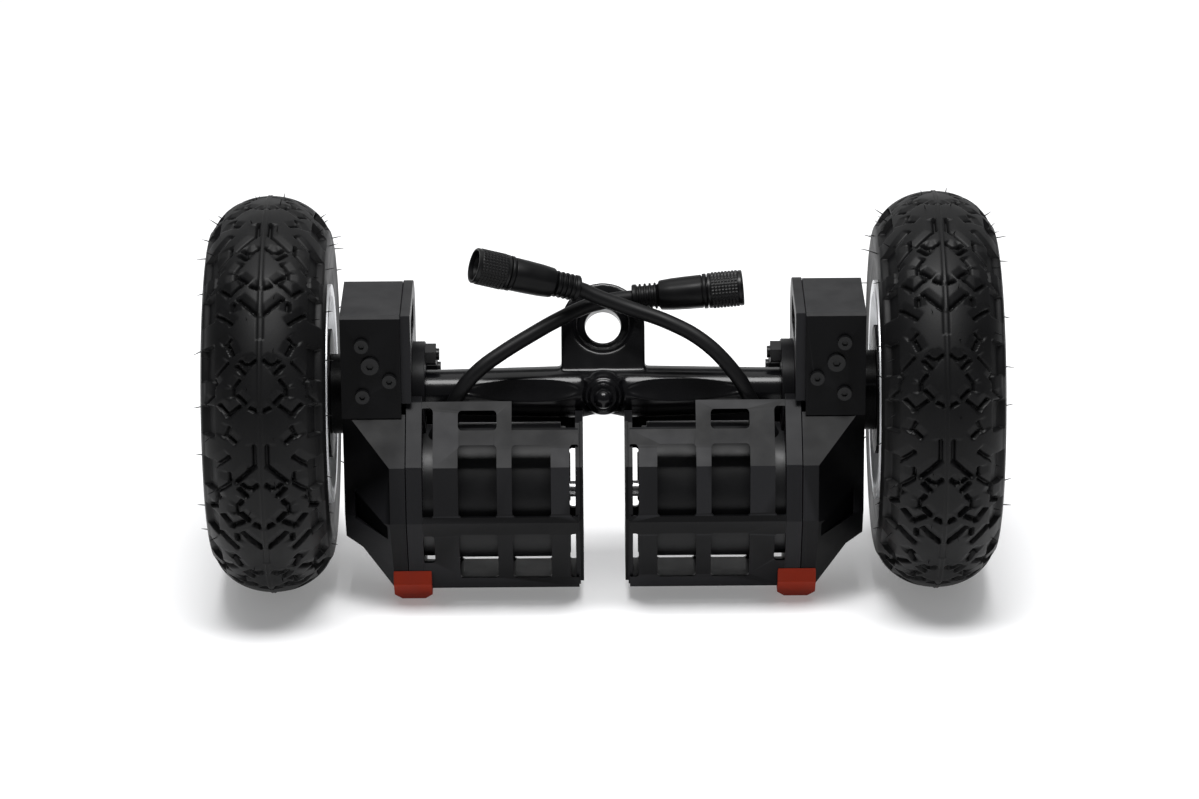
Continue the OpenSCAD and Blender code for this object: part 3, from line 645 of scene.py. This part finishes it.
def tyre(side):
    """A moulded tyre: elliptical section, parting rib, and a tread of zigzag blocks cut into it."""
    low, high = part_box(f"{side}_tyre")
    mid = (low + high) / 2
    outer = (high.z - low.z) / 2 / MM
    half_width = (high.x - low.x) / 2 / MM
    belly = outer - SECTION_HEIGHT
    across, radius, normal = tyre_section(half_width, belly)
    steps = TREAD_BLOCKS * TREAD_STEPS
    pitch = 2 * math.pi * outer / TREAD_BLOCKS
    turn = np.arange(steps) * 2 * math.pi / steps
    cut = tyre_cut(across, radius, (turn * outer + TREAD_PHASE) % (2 * pitch), pitch, belly)
    r_grid = radius[None, :] - cut * normal[None, :, 1]
    x_moved = across[None, :] - cut * normal[None, :, 0]
    sign = SIDES[side]
    c, s = np.cos(turn)[:, None], np.sin(turn)[:, None]
    points = np.stack([mid.x + sign * x_moved * MM, mid.y - r_grid * c * MM, mid.z + r_grid * s * MM], 2)
    faces = grid_faces(steps, len(across), True, True)
    if sign < 0:
        faces = [f[::-1] for f in faces]
    made = mesh_object(f"{side}_tread_tyre", points.reshape(-1, 3), faces)
    sharpen(made, TREAD_CREASE)
    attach(made, f"{side}_wheel")
    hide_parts(f"{side}_tyre")
    wear(made, "tyre")
    return mid, half_width, belly


def vent_hairs(side, mid, half_width, belly):
    """Thin rubber hairs left by the mould's vents, on the crown and both shoulders."""
    points, faces = [], []
    for ring, section in enumerate(HAIR_RINGS):
        for k in range(HAIRS):
            turn = 2 * math.pi * (k + 0.5 * (ring % 2)) / HAIRS + random.uniform(-0.08, 0.08)
            length = random.uniform(1.8, 4.2) if abs(section) > 30 else random.uniform(1.2, 2.6)
            lean = random.uniform(-0.6, 0.6)
            a = math.radians(section)
            across, radius = half_width * math.sin(a), belly + SECTION_HEIGHT * math.cos(a) - 1
            if math.sin(turn) < HAIR_LOW:
                continue
            radial = Vector((0, -math.cos(turn), math.sin(turn)))
            out = (Vector((math.sin(a), 0, 0)) + radial * math.cos(a)).normalized()
            root = Vector((across, 0, 0)) + radial * radius
            tilt = (out + Vector((0, math.sin(turn), math.cos(turn))) * lean).normalized()
            hair, sides = turned([(0.3, -0.4), (0.25, length * 0.6), (0.1, length + 1)], 6)
            first = len(points)
            points += [mid + (root + p) * MM for p in placed(hair, (0, 0, 0), tilt)]
            faces += [tuple(first + v for v in f) for f in sides]
    made = mesh_object(f"{side}_vent_hairs", points, faces)
    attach(made, f"{side}_wheel")
    wear(made, "tyre")


# ---------- hanger ----------

# Flute along each arm: its ends along the axle, its direction above the front, its half width round the arm,
# its depth, and the distances from the axle line that it may move
FLUTE_FIRST = 12 * MM
FLUTE_LAST = 72 * MM
FLUTE_FACING = math.radians(24)
FLUTE_HALF = math.radians(26)
FLUTE_DEPTH = 1.7 * MM
FLUTE_REACH = (10 * MM, 15 * MM)


def flute(obj):
    """Sinks a long leaf-shaped flute into the upper front of each arm."""
    count = len(obj.data.vertices)
    points = np.empty(count * 3)
    obj.data.vertices.foreach_get("co", points)
    points = points.reshape(-1, 3)
    y, z = AXLE.y - points[:, 1], points[:, 2] - AXLE.z
    reach = np.hypot(y, z)
    share = np.clip((np.abs(points[:, 0]) - FLUTE_FIRST) / (FLUTE_LAST - FLUTE_FIRST), 0, 1)
    leaf = np.sin(math.pi * share ** 0.8)
    width = FLUTE_HALF * leaf ** 0.6 + 1e-4
    beside = np.clip(1 - ((np.arctan2(z, y) - FLUTE_FACING) / width) ** 2, 0, 1)
    depth = FLUTE_DEPTH * beside * leaf ** 0.5 * (reach > FLUTE_REACH[0]) * (reach < FLUTE_REACH[1])
    points[:, 1] += depth * y / np.maximum(reach, MM)
    points[:, 2] -= depth * z / np.maximum(reach, MM)
    obj.data.vertices.foreach_set("co", points.ravel())
    obj.data.update()


def hanger():
    """The forging: the CAD shape with its edges and joints rounded, and a long flute along each arm."""
    made = copy_of("hanger", "forged_hanger")
    modify(made, "REMESH", mode="VOXEL", voxel_size=0.6 * MM, use_smooth_shade=True)
    modify(made, "SMOOTH", factor=0.5, iterations=24)
    applied(made)
    flute(made)
    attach(made, "root")
    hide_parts("hanger")
    wear(made, "forged_black")


# ---------- CAD nodes that stay ----------

# Faces that meet at more than this get a bevel
BEVEL_ANGLE = math.radians(28)
# Slot of each kept part, and the width of its bevel in millimetres
KEPT = {
    "rim_outer": ("rim_alloy", 0.5), "rim_inner": ("rim_alloy", 0.5), "rim_bolts": ("steel", 0.2),
    "tyre_valve": ("black_steel", 0.2), "wheel_bearings": ("steel", 0.2),
    "drive_hub": ("black_anodised", 0.4), "wheel_gear": ("steel", 0),
    "axle_nut": ("steel", 0.3), "gear_housing": ("black_anodised", 0.5),
    "inner_plate": ("black_anodised", 0.4), "housing_screws": ("black_steel", 0.25),
    "motor_plate": ("black_anodised", 0.4), "clamp_collar": ("black_anodised", 0.6),
    "collar_bolts": ("black_steel", 0.3), "motor_base": ("motor_alloy", 0.3),
    "motor_stator": ("copper", 0), "motor_can": ("motor_black", 0.4),
    "motor_shaft": ("steel", 0.2), "pinion": ("steel", 0), "shaft_bearings": ("steel", 0.2),
    "guard": ("black_sheet", 0.35), "guard_end_plate": ("black_anodised", 0.35),
    "foot": ("orange_rubber", 0.6), "cable_gland": ("black_plastic", 0.3),
}


def finish_node(node, slot, edge):
    """A kept CAD node's material, with its sharp edges broken by a small bevel."""
    obj = frame["nodes"][node]
    wear(obj, slot)
    if edge:
        modify(obj, "WELD", merge_threshold=3e-6)
        modify(obj, "BEVEL", width=edge * MM, segments=2, limit_method="ANGLE", angle_limit=BEVEL_ANGLE)
        modify(obj, "WEIGHTED_NORMAL", weight=100, keep_sharp=True)


def finish_nodes():
    finish_node("axle", "steel", 0.4)
    finish_node("pivot_tip", "forged_black", 0.3)
    for side in SIDES:
        for part, (slot, edge) in KEPT.items():
            finish_node(f"{side}_{part}", slot, edge)


# ---------- studio ----------

# A little light of its own, so that the floor reads as a bright backdrop
FLOOR_GLOW = 0.22


def make_floor():
    floor = mesh_object("floor", [(-8, -8, 0), (8, -8, 0), (8, 8, 0), (-8, 8, 0)], [(0, 1, 2, 3)], False)
    look = Look("floor_paint", ((0.74, 0.74, 0.75), (0.76, 0.76, 0.765)), (0.75, 0.85), 0.0, 2)
    look.grain(300, 0.05, 0.0002)
    look.shader.inputs["Emission Color"].default_value = (1, 1, 1, 1)
    look.shader.inputs["Emission Strength"].default_value = FLOOR_GLOW
    floor.data.materials.append(look.material)


def area_light(name, place, target, size, power):
    data = bpy.data.lights.new(name, "AREA")
    data.shape = "RECTANGLE"
    data.size, data.size_y = size
    data.energy = power
    light = add_object(name, data)
    light.location = place
    light.rotation_euler = (Vector(place) - Vector(target)).to_track_quat("Z", "Y").to_euler()


def make_studio():
    make_floor()
    area_light("overhead", (0, -0.5, 1.9), target=(0, -0.1, 0.1), size=(1.1, 0.65), power=50)
    area_light("rear", (0, 0.9, 2.6), target=(0, 0.9, 0), size=(3.6, 1.6), power=30)
    area_light("backdrop", (0, 3.2, 1.3), target=(0, 0, 0.2), size=(5, 1.6), power=20)
    world = bpy.data.worlds.new("studio")
    bpy.context.scene.world = world
    world.use_nodes = True
    sky = world.node_tree.nodes["Background"]
    sky.inputs["Color"].default_value = (0.92, 0.94, 0.96, 1)
    sky.inputs["Strength"].default_value = 0.2
    bpy.context.scene.view_settings.view_transform = "Standard"


make_camera()
LOOKS = make_looks()
make_cords()
for name in SIDES:
    vent_hairs(name, *tyre(name))
hanger()
finish_nodes()
make_studio()
